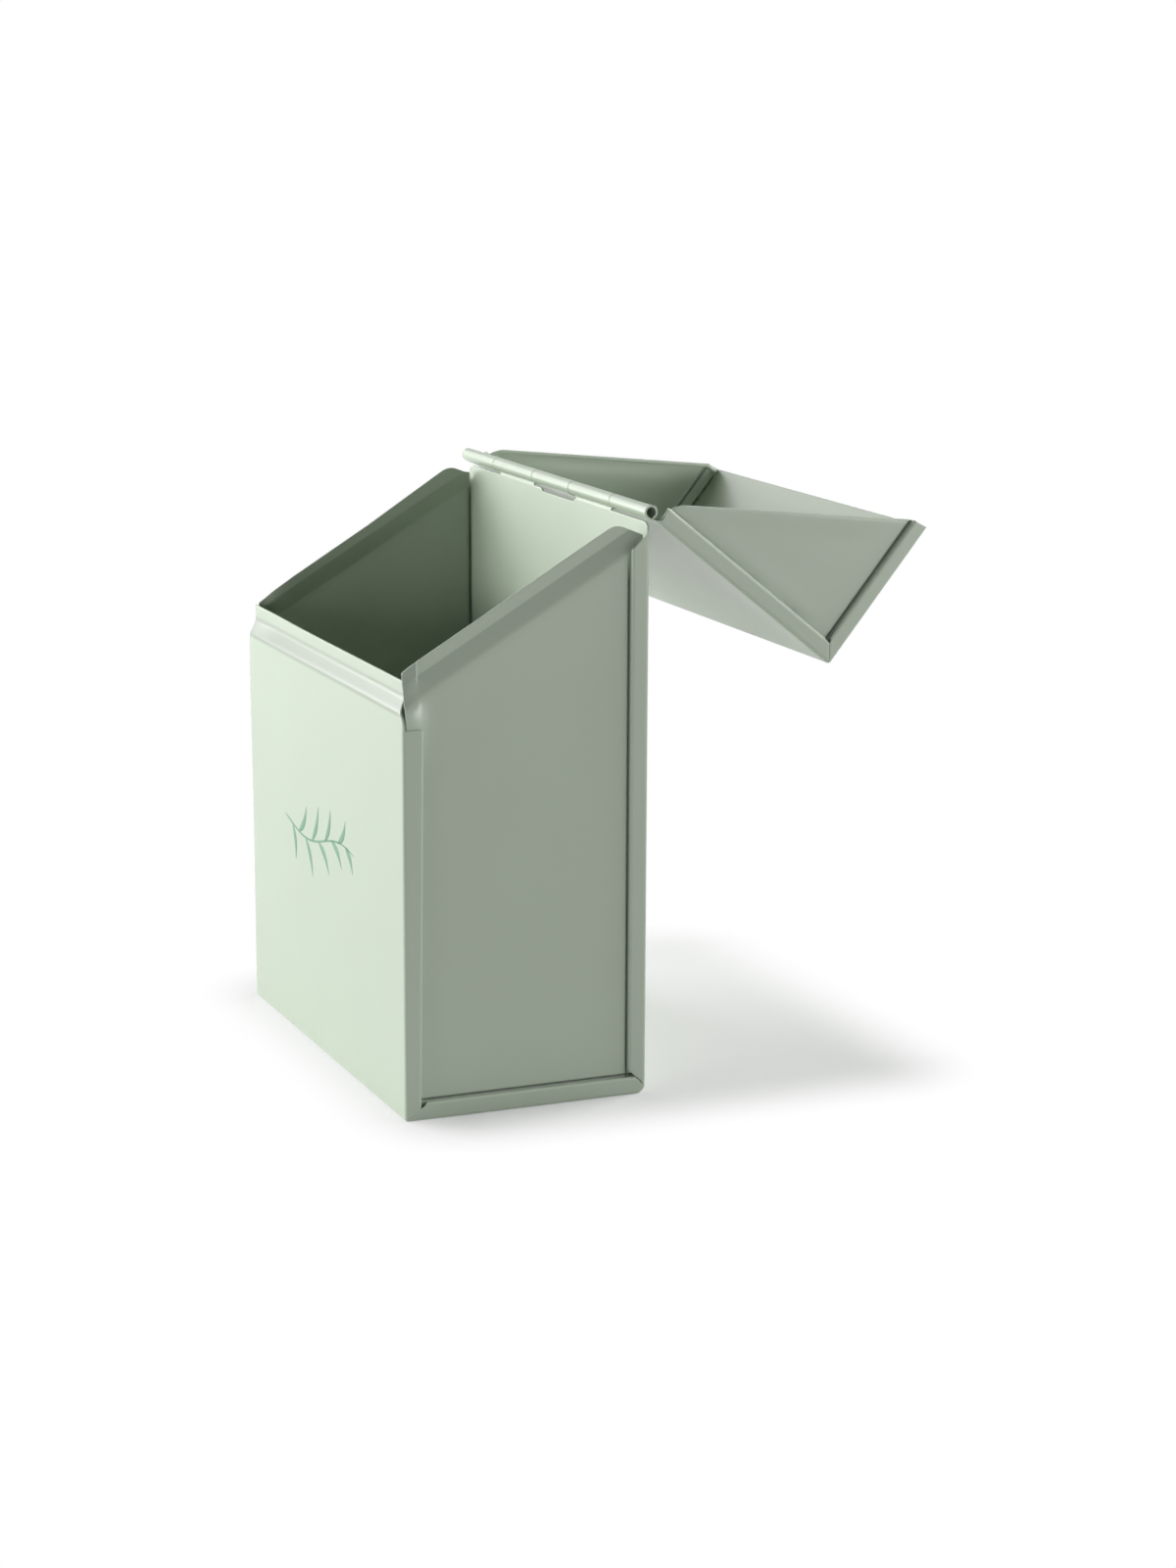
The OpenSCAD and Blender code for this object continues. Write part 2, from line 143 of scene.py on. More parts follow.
# Print: a stem that waves round a height, with leaves
PRINT_PROUD = 0.02
PRINT_WALL = 0.01
STEM_Z = 75
STEM_WAVE = 3
STEM_PERIOD = 12
STEM_X = (-42, -38, 25, 31)
STEM_HALF_W = (0.15, 0.45, 0.35, 0.1)
LEAVES = 9
LEAF_X = (-34, 22)
LEAF_ANGLE = 62
LEAF_ANGLE_STEP = 2.5
LEAF_LENGTH = 15.5
LEAF_LENGTH_STEP = 0.9
LONGEST_LEAF = 3
LEAF_BEND = 1.6
LEAF_HALF_W = 1.25
LEAF_END_HALF_W = 0.12

# Hinge
AXIS_Y = HALF_D - 0.3
AXIS_Z = BACK_H + 3.5
BARREL_R = 2.25
KNUCKLES = (-81.6, -51.4, -15.0, 17.6, 52.3, 81.6)
KNUCKLE_GAP = 0.35
ROOT_TRIM = 2.4
BODY_ROLL = (math.radians(-50), math.radians(305))
LID_ROLL = (math.radians(140), math.radians(310))

# Lid, drawn closed: u forward from the hinge axis, v upward from it
LID_HALF_W = 81.6
LID_TOP = 1.15
LID_LEN = AXIS_Y + HALF_D
LID_DROP = AXIS_Z - FRONT_H - 4.9
LID_TOP_FLANGE_W = 6.1
LID_FRONT_FLANGE_W = 5.3
LID_FLANGE_START = 4.3
LID_BITE = 0.7
LID_BITE_MIDDLE = 3.0
LID_BITE_HALF = 3.2
LID_BEND_R = 1.1
LID_MITRE_GAP = 0.12
LID_ROOT_LEN = 6.0
LID_NOTCH = 3.2
LID_OPEN = math.radians(218.9)
GUSSET_X = LID_HALF_W - 2 * BEAD_R - 0.04
GUSSET_START = 5.2
GUSSET_BACK_H = 6.6
GUSSET_TIP_RISE = 0.7
GUSSET_CORNER_R = 4.5
GUSSET_CORNER_DROP = 4.2
GUSSET_GROOVE = 0.4
GUSSET_TOP_GROOVE = 0.12
GUSSET_WALL = 0.5


def spread(stops, step):
    """Places from the first stop to the last, through every stop.

    Between two stops they are evenly spaced, at most step apart.
    """
    runs = [np.linspace(a, b, max(int(math.ceil(abs(b - a) / step)), 1), endpoint=False)
            for a, b in zip(stops[:-1], stops[1:])]
    return np.concatenate(runs + [[stops[-1]]])


def ease(a, b, x):
    """0 up to a, 1 from b on, and a smooth S between them."""
    t = np.clip((np.asarray(x, float) - a) / (b - a), 0, 1)
    return t * t * (3 - 2 * t)


def plateau(a, b, c, d, x):
    """0 up to a, 1 from b to c, 0 from d on, and a smooth S between them."""
    return ease(a, b, x) * (1 - ease(c, d, x))


def filleted(points, radii, steps=6, step=5.0):
    """A polyline with a circular arc of its own radius at each inner point.

    Its straights are cut to at most step.
    """
    points = np.asarray(points, float)
    out = [points[0]]
    for before, at, after, r in zip(points[:-2], points[1:-1], points[2:], radii):
        a = (before - at) / np.linalg.norm(before - at)
        b = (after - at) / np.linalg.norm(after - at)
        half = math.acos(np.clip(a @ b, -1, 1)) / 2
        reach = r / math.tan(half)
        middle = at + (a + b) / np.linalg.norm(a + b) * r / math.sin(half)
        start, end = at + a * reach, at + b * reach
        angle = np.linspace(0, 1, steps + 1)[:, None]
        blend = (start - middle) * (1 - angle) + (end - middle) * angle
        arc = middle + blend / np.linalg.norm(blend, axis=1, keepdims=True) * r
        out.extend(straight(out[-1], arc[0], step)[1:])
        out.extend(arc[1:])
    out.extend(straight(out[-1], points[-1], step)[1:])
    return np.array(out)


def straight(a, b, step):
    """Evenly spaced points from a to b, at most step apart."""
    count = max(int(math.ceil(np.linalg.norm(np.asarray(b) - a) / step)), 1)
    t = np.linspace(0, 1, count + 1)[:, None]
    return list(np.asarray(a) * (1 - t) + np.asarray(b) * t)


def sheet(name, parts, finish, body, wall=WALL, soft=SOFT_EDGE):
    """One sheet from grids of skin points, rows by columns.

    Each part is (points, keep), where keep is by cell, or (points, keep, each point's share of painted
    shade).
    Quads join the kept cells, points that coincide are merged, and the wall grows from the skin to its
    back. With no wall the parts close to a shell of their own.
    """
    verts, faces, tints, base = [], [], [], 0
    for part in parts:
        points, keep = part[0], part[1]
        rows, cols = points.shape[:2]
        index = np.arange(rows * cols).reshape(rows, cols) + base
        quads = np.stack([index[:-1, :-1], index[1:, :-1], index[1:, 1:], index[:-1, 1:]], axis=-1)
        faces.append(quads[keep])
        verts.append(points.reshape(-1, 3))
        tints.append(np.zeros(rows * cols) if len(part) < 3 else part[2].reshape(-1))
        base += rows * cols
    verts = np.concatenate(verts) * MM
    faces = np.concatenate(faces)
    mesh = bpy.data.meshes.new(name)
    mesh.from_pydata(verts.tolist(), [], faces.tolist())
    # Each point's share of painted shade goes into an attribute that darkens the colour
    shade = mesh.attributes.new("painted_shade", "FLOAT", "POINT")
    shade.data.foreach_set("value", np.concatenate(tints).astype(np.float32))
    work = bmesh.new()
    work.from_mesh(mesh)
    bmesh.ops.remove_doubles(work, verts=work.verts, dist=MERGE_GAP * MM)
    bmesh.ops.delete(work, geom=[v for v in work.verts if not v.link_faces], context="VERTS")
    if not wall:
        bmesh.ops.recalc_face_normals(work, faces=work.faces)
    work.to_mesh(mesh)
    work.free()
    mesh.polygons.foreach_set("use_smooth", np.ones(len(mesh.polygons), bool))
    piece = bpy.data.objects.new(name, mesh)
    bpy.context.scene.collection.objects.link(piece)
    mesh.materials.append(finish)
    if wall:
        solid = piece.modifiers.new("wall", "SOLIDIFY")
        solid.thickness = wall * MM
        solid.offset = -1
        solid.use_quality_normals = True
    if soft:
        bevel = piece.modifiers.new("soft edges", "BEVEL")
        bevel.width = soft * MM
        bevel.segments = 2
        bevel.limit_method = "ANGLE"
        bevel.angle_limit = SOFT_FROM
        bevel.use_clamp_overlap = True
    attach(piece, body)
    return piece


def seam_columns(half, flange, stops):
    """Half of a wall's cross-section, from the wall's middle outward and round its hemmed flange.

    Straight wall, quarter circle, straight flange, half circle and straight hook follow one another.
    Gives the place across, the depth behind the wall's face, and the zone of each column: 0 wall, 1 fold,
    2 flange, 3 bead, 4 hook.
    """
    wall = spread([s for s in stops if s < half - FOLD_R] + [half - FOLD_R], 6.0)
    a = np.linspace(0, math.pi / 2, FOLD_STEPS + 1)[1:]
    b = np.linspace(0, math.pi, BEAD_STEPS + 1)[1:]
    run = spread([FOLD_R, FOLD_R + 0.5, flange - BEAD_R - 0.4, flange - BEAD_R], 1.5)[1:]
    hook = spread([flange - BEAD_R, HOOK_END], 1.0)[1:]
    x = np.concatenate([wall, half - FOLD_R + FOLD_R * np.sin(a), np.full(len(run), half),
                        half - BEAD_R + BEAD_R * np.cos(b), np.full(len(hook), half - 2 * BEAD_R)])
    d = np.concatenate([np.zeros(len(wall)), FOLD_R - FOLD_R * np.cos(a), run,
                        flange - BEAD_R + BEAD_R * np.sin(b), hook])
    zone = np.concatenate([np.full(len(wall), 0), np.full(len(a), 1), np.full(len(run), 2),
                           np.full(len(b), 3), np.full(len(hook), 4)])
    return x, d, zone


def cells(rows, zone_mask):
    """Which cells of a part stay: all its rows, in the columns whose two sides are both in the mask."""
    return np.repeat((zone_mask[:-1] & zone_mask[1:])[None, :], rows - 1, axis=0)


def grid(x, y, z):
    """Rows by columns of points from arrays that broadcast."""
    x, y, z = np.broadcast_arrays(x, y, z)
    return np.stack([x, y, z], axis=-1)


def whole(points):
    """Every cell of a part stays."""
    return np.ones((points.shape[0] - 1, points.shape[1] - 1), bool)


def roll(start, turn, r, centre, steps=34):
    """Points of a circular roll round a centre, from angle start over the given turn."""
    a = start + turn * np.linspace(0, 1, steps + 1)
    return np.stack([centre[0] + r * np.cos(a), centre[1] + r * np.sin(a)], axis=-1)


def bezier(p, q, s, t, steps=8):
    """Points of the cubic curve from p to t with handles q and s, without its first point."""
    k = np.linspace(0, 1, steps + 1)[1:, None]
    p, q, s, t = (np.asarray(v, float) for v in (p, q, s, t))
    return (1 - k) ** 3 * p + 3 * k * (1 - k) ** 2 * q + 3 * k * k * (1 - k) * s + k ** 3 * t


def knuckle_mask(x, first, trim=0.0):
    """Columns inside every second knuckle from the given one, with trim taken from their inner ends."""
    mask = np.zeros(len(x), bool)
    last = len(KNUCKLES) - 2
    for i in range(first, last + 1, 2):
        low = KNUCKLES[i] + (KNUCKLE_GAP / 2 + trim if i > 0 else 0)
        high = KNUCKLES[i + 1] - (KNUCKLE_GAP / 2 + trim if i < last else 0)
        mask |= (x > low - 0.01) & (x < high + 0.01)
    return mask


def knuckle_stops(first, trim):
    """Column places that the knuckles' ends and their roots need, each with a support beside it."""
    found = []
    last = len(KNUCKLES) - 2
    for i in range(first, last + 1, 2):
        for edge, inward, outermost in ((KNUCKLES[i], 1, i == 0), (KNUCKLES[i + 1], -1, i == last)):
            if not outermost:
                found += [edge + inward * (KNUCKLE_GAP / 2 + t) for t in (0, 0.4, trim, trim + 0.4)]
    return found


def gentle_bow(x, z, phase, depth):
    """A slow unevenness of rolled sheet, a sum of three sine waves, between 0 and depth."""
    k = phase * 1.7
    p, q, r = BOW_WAVES
    wave = (np.sin(x / p + k) + np.sin(z / q + 2 * k) + np.sin((x + z) / r + 3 * k)) / 6 + 0.5
    return depth * wave


def line_groove(distance, width):
    """1 along a line, falling off like a bell to both sides of it."""
    return np.exp(-(distance / width) ** 2)


def front_bow(x, z):
    """How far the body's front dips behind its flat: a bow that dies out towards its four sides."""
    return gentle_bow(x, z, *FRONT_BOW) * (1 - ease(66, 78, np.abs(x))) * plateau(0, 30, 95, 128, z)


def whole_columns(half, flange, marks):
    """Cross-section of a whole wall with both hemmed flanges, from the left hook to the right one."""
    left = seam_columns(half, flange, sorted([0] + [-m for m in marks if m < 0]))
    right = seam_columns(half, flange, sorted([0] + [m for m in marks if m > 0]))
    x = np.concatenate([-left[0][::-1], right[0][1:]])
    d = np.concatenate([left[1][::-1], right[1][1:]])
    zone = np.concatenate([left[2][::-1], right[2][1:]])
    return x, d, zone


def body_wrap(finish):
    """Front, bottom and back in one sheet, with its rim, its six hemmed flanges and two rolled knuckles.

    The cross-section's columns are carried down the front, along the bottom and up the back. A column that
    lies d behind the wall turns each corner on an arc that is smaller by d, and past the arc's radius on a
    mitre.
    """
    marks = [*knuckle_stops(1, ROOT_TRIM), *FOLD_MARKS, *NOTCH_LEFT, *NOTCH_RIGHT]
    x, d, zone = whole_columns(HALF_W, FLANGE_W, marks)
    across = np.abs(x)
    outward = np.sign(x)
    right = x > 0
    every = zone >= 0
    metal = zone <= 1
    flange = zone >= 2
    hem = np.clip((d - FOLD_R) / (FLANGE_W - BEAD_R - FOLD_R), 0, 1) * flange
    outer_share = ease(60, HALF_W - FOLD_R, across)
    parts = []

    def width_at(z):
        """Half of the front's width at a height: both sides draw in at the rim, and the left one swells."""
        swell = LEFT_SWELL * ease(*LEFT_SWELL_Z, z) - LEFT_TAPER * ease(*LEFT_TAPER_Z, z)
        return np.where(right, HALF_W - RIGHT_TAPER * ease(*RIGHT_TAPER_Z, z), HALF_W + swell)

    # Rim and shoulder
    shoulder_top = FRONT_H + FRONT_SHOULDER_H
    rim_top = shoulder_top + FRONT_RIM_H
    corners = [(RIM_INSET, rim_top), (RIM_INSET, shoulder_top), (0, FRONT_H), (0, FRONT_FLANGE_TOP)]
    path = filleted(corners, (FRONT_SHOULDER_R, FRONT_SHOULDER_R), step=1.0)
    inset, z = path[:, :1], path[:, 1:]
    curl = 1 - RIM_CURL * ease(*RIM_CURL_Z, z)
    x_all = x - outward * (HALF_W - width_at(z)) * np.where(zone >= 1, 1, outer_share)
    pull = 1 - LEFT_RIM_PULL * ease(*LEFT_RIM_PULL_X, -x)
    y_all = -HALF_D + inset * pull + (d + FLARE_TOP * hem) * curl
    rise = LEFT_RIM_RISE * np.clip(-x / HALF_W, 0, 1) ** 2 * ease(FRONT_H, rim_top, z)
    # Painted shade on the front's shoulder band, which tones down the highlight its fillets catch
    band = plateau(FRONT_H - 1.8, FRONT_H - 0.4, shoulder_top + 0.1, shoulder_top + 1.9, z)
    shade = np.broadcast_to(FRONT_SHADE * band, x_all.shape)
    parts.append((grid(x_all, y_all, z + rise), cells(len(path), metal), shade))

    # Front
    front_d = np.maximum(d, FRONT_BEND_R)
    pinch = np.maximum(d + FLARE_LOW * hem - MITRE_START, 0)
    low = np.where(flange, MITRE_START + pinch * MITRE_SLOPE + 0.03, front_d)
    t = spread([0, 0.003, 0.006, 0.98, 0.99, 1], 0.07)[:, None]
    z_all = FRONT_FLANGE_TOP + (low - FRONT_FLANGE_TOP) * t
    end = 0.5 * ease(FLANGE_W - 1.0, FLANGE_W, d) * (1 - ease(0, 0.01, t))
    flare = hem * (FLARE_LOW + (FLARE_TOP - FLARE_LOW) * z_all / FRONT_FLANGE_TOP)
    bow = front_bow(x, z_all)
    crease = MITRE_CREASE * (zone == 2) * ease(0.993, 1, t)
    swell = np.where(x < 0, width_at(z_all) - HALF_W, 0) * outer_share
    x_all = x + outward * (swell - crease)
    parts.append((grid(x_all, -HALF_D + d + flare + bow, z_all - end), cells(len(t), every)))

    # Front bend
    a = np.linspace(math.pi, 1.5 * math.pi, 9)[:, None]
    small = np.maximum(FRONT_BEND_R - d, 0)
    first = metal | ((zone == 2) & (d < MITRE_START + 0.01))
    parts.append((grid(x, -HALF_D + front_d + small * np.cos(a), front_d + small * np.sin(a)),
                  cells(len(a), first)))

    # Bottom, as far as the back's corner
    mitre_y = -HALF_D + MITRE_START
    cut = FLANGE_W - 1.5
    start = np.where(flange, mitre_y + np.maximum(d - MITRE_START, 0) / MITRE_SLOPE, -HALF_D + front_d)
    blunt = mitre_y + (cut - MITRE_START) / MITRE_SLOPE + (d - cut) * 0.75
    start = np.where(flange & (d > cut), blunt, start)
    start = np.where(zone == 4, start[zone == 3].max(), start)
    t = spread([0, 0.01, 0.02, 1], 0.1)[:, None]
    y_all = start + (CORNER_START - start) * t
    lift = BOTTOM_LIFT * (1 - ease(60, 76, across)) * plateau(-36, -20, 20, 34, y_all)
    crease = MITRE_CREASE * (zone == 2) * (1 - ease(0, 0.01, t))
    parts.append((grid(x - outward * crease, y_all, d + lift), cells(len(t), every)))

    # Bottom and its bead beside the back's corner
    bead = (zone >= 3) | ((zone == 2) & (d > FLANGE_W - BEAD_R - 0.01))
    t = np.linspace(0, 1, 4)[:, None]
    straight_end = HALF_D - BACK_BEND_R
    y_all = CORNER_START + (np.where(bead, straight_end - 0.4, straight_end) - CORNER_START) * t
    parts.append((grid(x, y_all, d), cells(len(t), metal) | cells(len(t), bead)))

    # Back bend
    a = np.linspace(-0.5 * math.pi, 0, 11)[:, None]
    small = np.maximum(BACK_BEND_R - d, 0)
    back_d = np.maximum(d, BACK_BEND_R)
    parts.append((grid(x, HALF_D - back_d + small * np.cos(a), back_d + small * np.sin(a)),
                  cells(len(a), metal)))

    # The flange's flat round that bend: ruled between the fold's edge and a path that ends along the slit
    r = BACK_BEND_R - FOLD_R
    top = FLANGE_W - BEAD_R
    bend = (HALF_D + SLIT_LOW - top, top)
    run = np.stack([np.linspace(CORNER_START, straight_end, 4), np.full(4, FOLD_R)], axis=-1)
    turned = np.stack([straight_end + r * np.cos(a[1:, 0]), BACK_BEND_R + r * np.sin(a[1:, 0])], axis=-1)
    outer = np.concatenate([run, turned])
    run = np.stack([np.linspace(CORNER_START, bend[0], 4), np.full(4, top)], axis=-1)
    inner = np.concatenate([run, np.linspace(bend, outer[-1] + (0, 0.05), 11)[1:]])
    share = (np.concatenate([[FOLD_R], d[(zone == 2) & right]]) - FOLD_R) / (top - FOLD_R)
    flat = outer[:, None, :] * (1 - share[:, None]) + inner[:, None, :] * share[:, None]
    for facing in (1, -1):
        points = grid(facing * HALF_W, flat[..., 0], flat[..., 1])[:, ::facing]
        parts.append((points, whole(points)))

    # Back, up to the slanted ends of its flanges
    t = spread([0, 0.01, 0.02, 0.994, 0.997, 1], 0.06)[:, None]
    top = BACK_FLANGE_TOP - BACK_FLANGE_SLOPE * np.maximum(d - FOLD_R, 0)
    slit_top = SLIT_LOW + SLIT_GAP + SLIT_SPREAD * (1 - d / FLANGE_W)
    low = np.where(flange, d + slit_top, BACK_BEND_R)
    z_all = low + (top - low) * t
    bow = gentle_bow(x, z_all, *BACK_BOW) * (1 - ease(64, 77, across)) * plateau(4, 16, 165, 180, z_all)
    parts.append((grid(x, HALF_D - d - bow, z_all), cells(len(t), every)))

    # Top of the back with its rounded corners and a shallow notch
    past = np.clip(across - (HALF_W - BACK_CORNER_R), 0, BACK_CORNER_R)
    edge = BACK_H - BACK_CORNER_R + np.sqrt(BACK_CORNER_R ** 2 - past ** 2)
    notch = NOTCH_DEPTH * plateau(*NOTCH_LEFT, *NOTCH_RIGHT, x)
    edge = np.maximum(edge - notch, BACK_FLANGE_TOP + 0.03)
    t = spread([0, 0.8, 0.9, 1], 0.25)[:, None]
    z_all = BACK_FLANGE_TOP + (edge - BACK_FLANGE_TOP) * t
    parts.append((grid(x, HALF_D - d, z_all), cells(len(t), metal)))

    # Roots and rolls of the body's knuckles
    turn_in, turn = BODY_ROLL
    arc = roll(turn_in, turn, BARREL_R, (AXIS_Y, AXIS_Z))
    handle = np.array([-math.sin(turn_in), math.cos(turn_in)]) * 0.5
    foot = (HALF_D, BACK_H)
    root = np.concatenate([[foot], bezier(foot, (HALF_D, BACK_H + 0.8), arc[0] - handle, arc[0])])
    wall = zone == 0
    parts.append((grid(x, root[:, :1], root[:, 1:]),
                  cells(len(root), knuckle_mask(x, 1, ROOT_TRIM) & wall)))
    parts.append((grid(x, arc[:, :1], arc[:, 1:]), cells(len(arc), knuckle_mask(x, 1) & wall)))
    piece = sheet("body_wrap", parts, finish, "box")
    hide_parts("body_sheet")


def closed(outer, inner, tint, inner_tint):
    """Parts of a plate of two skins, with the painted shade of each, and the strips that join them, which
    carry a painted shade too.
    """
    last_row, last_col = outer.shape[0] - 1, outer.shape[1] - 1
    # The joining strips take an even painted shade, which tones down the highlight on the plate's edges
    rim = np.full_like(tint, EDGE_SHADE)
    found = [(outer, whole(outer), tint), (inner, whole(inner), inner_tint)]
    for edge in ((slice(None), 0), (slice(None), last_col), (0, slice(None)), (last_row, slice(None))):
        strip = np.stack([outer[edge], inner[edge]], axis=1)
        found.append((strip, whole(strip), np.stack([rim[edge]] * 2, axis=1)))
    return found


def side_panel(side, finish):
    """A side panel: plate, leaning shoulder and rim, drawn on the right and mirrored for the left.

    Its rows run down from the rim's outline. Shoulder and rim follow a filleted profile square to the
    slope. On the right panel the rim's front end is a tab that leans evenly from the foot up, and above the
    front's seam the plate jogs out until it is flush with the flange. The outer skin dips into a narrow
    groove beside the hems of bottom and back.
    """
    on_right = side > 0
    front = -HALF_D + WALL + PANEL_GAP
    back = HALF_D - WALL - (PANEL_GAP if on_right else 2 * PANEL_GAP)
    tab_end = front + TAB_W
    stops = [front, front + 0.4, tab_end - 0.6, tab_end + 1.2, 26, 34.2, 37.4, 38, back - 0.4, back]
    tab_stops = np.arange(tab_end - 0.3, tab_end + 0.31, 0.1)
    peak_stops = np.concatenate([np.arange(29, 35, 0.5), np.arange(34.2, 37.41, 0.2)])
    y = np.unique(np.concatenate([spread(stops, 2.6), tab_stops, peak_stops]).round(4))
    foot = FRONT_H + (y + HALF_D) * math.tan(SLOPE)
    height = SIDE_SHOULDER_H + SIDE_RIM_H
    turn_y = HALF_D - RIM_DROP_D
    peak = FRONT_H + (turn_y + HALF_D) * math.tan(SLOPE) + height / math.cos(SLOPE)
    rising = foot + height / math.cos(SLOPE)
    falling = peak - (y - turn_y) * math.tan(RIM_DROP)
    near = np.maximum(RIM_PEAK_BLEND - np.abs(rising - falling), 0)
    top = np.minimum(rising, falling) - near ** 2 / (4 * RIM_PEAK_BLEND)
    if on_right:
        top = top - 0.5 * (1 - ease(front, front + 0.8, y))
    else:
        top = top + np.interp(y, LEFT_OUTLINE_Y, LEFT_OUTLINE_RISE)
    h_top = (top - foot) * math.cos(SLOPE)

    # Shoulder and rim
    shoulder_r = SHOULDER_R if on_right else 2 * SHOULDER_R
    rim = filleted([(-4, 0), (0, 0), (SIDE_SHOULDER_H, RIM_INSET), (height + 2, RIM_INSET)],
                   (shoulder_r, shoulder_r), step=0.5)
    h = np.linspace(1, 0, 34)[:, None] * h_top
    lean = np.interp(h, rim[:, 0], rim[:, 1])
    tab_lean = TAB_LEAN * h / height
    if on_right:
        low_share = ease(front, tab_end + 3, y)
        tight_share = 0.5 + 0.5 * ease(tab_end - 0.25, tab_end + 0.25, y)
        share = low_share + (tight_share - low_share) * ease(SIDE_SHOULDER_H - 2, SIDE_SHOULDER_H + 1, h)
        slack = 1
    else:
        share = np.ones_like(h)
        slack = ease(front - 2, -30, y)
    x_top = PANEL_X - (tab_lean + (lean - tab_lean) * share) * slack
    z_top = foot + h / math.cos(SLOPE)
    upright = 1 - ease(SIDE_SHOULDER_H + 0.3, SIDE_SHOULDER_H - 0.3, h) * share
    # Painted shade on the upward-leaning shoulder and on the right panel's tab, where the sheet gets less
    # light
    band = plateau(0.2, 1.6, SIDE_SHOULDER_H - 0.3, SIDE_SHOULDER_H + 0.3, h)
    on_tab = 1 - ease(tab_end - 0.15, tab_end + 0.15, y)
    step = TAB_SHADE * upright * on_tab * ease(-0.2, 1.2, h) * on_right
    step = np.maximum(step, SHOULDER_SHADE * band)

    # Plate
    t = spread([0, 0.02, 0.045, 0.053, 0.06, 0.068, 1], 0.06)[1:, None]
    z_mid = foot + (8 - foot) * t
    z_low = np.broadcast_to(np.array(LOW_ROWS)[:, None], (len(LOW_ROWS), len(y)))
    z = np.concatenate([z_mid, z_low])
    from_back = HALF_D - y[None, :]
    # The groove dips the outer skin, and the same mask paints shade into the colour along it
    groove = np.maximum(line_groove(z - FLANGE_W - 0.35, 0.4),
                        line_groove(from_back - FLANGE_W - 0.1, 0.38) * (1 - ease(170, 176, z)))
    below = foot - z
    middle = plateau(front + 6, front + 20, 16, 32, y) * ease(10, 26, z) * ease(2, 16, below)
    bow = gentle_bow(y, z, *PANEL_BOWS[side]) * middle
    x_plate = PANEL_X - PLATE_SINK * ease(0, 3, below) - bow
    # Painted shade for every row: tab and shoulder above, grooves beside the hems below
    tint = np.concatenate([step, groove])
    x = np.concatenate([x_top, x_plate])
    dip = np.concatenate([np.zeros_like(z_top), PLATE_GROOVE * groove])
    z = np.concatenate([z_top, z])
    jog = plateau(*SEAM_JOG_Z, z) * on_right
    x = x + SEAM_JOG * jog * (1 - ease(front + 3, front + 8, y))
    y_all = np.broadcast_to(y, z.shape).copy()
    if not on_right:
        # The left panel's front edge stays behind the front's shoulder and rim
        lean_in = RIM_INSET * ease(FRONT_H - 0.5, FRONT_H + FRONT_SHOULDER_H, z)
        back_off = np.maximum(-HALF_D + lean_in + WALL + 0.08 - front, 0)
        y_all = y_all + back_off * (1 - ease(front, front + 8, y_all))
    # The plate's lower back corner is rounded inside the wall's bend
    bend_r = BACK_BEND_R - WALL
    corner_y = np.maximum(y_all - (HALF_D - WALL - bend_r), 0)
    floor_z = WALL + bend_r - np.sqrt(np.maximum(bend_r ** 2 - np.minimum(corner_y, bend_r) ** 2, 0))
    z = np.maximum(z, np.where(corner_y > 0, floor_z + 0.1, WALL + 0.1))
    # Painted shade on the inner skin, stronger towards its front end
    inside = INSIDE_SHADE * (1 + 1.5 * (1 - ease(front, front + 10, y_all)))
    outer = grid(side * (x - dip), y_all, z)
    inner = grid(side * (x - WALL), y_all, z)
    name = "side_panel_right" if on_right else "side_panel_left"
    piece = sheet(name + "_plate", closed(outer, inner, tint, inside), finish, "box", wall=0)
    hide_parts(name)


def swing(points):
    """Turns points from the closed lid, with the hinge axis at the origin, to where the open lid rests."""
    c, s = math.cos(-LID_OPEN), math.sin(-LID_OPEN)
    y, z = points[..., 1], points[..., 2]
    return np.stack([points[..., 0], AXIS_Y + y * c - z * s, AXIS_Z + y * s + z * c], axis=-1)


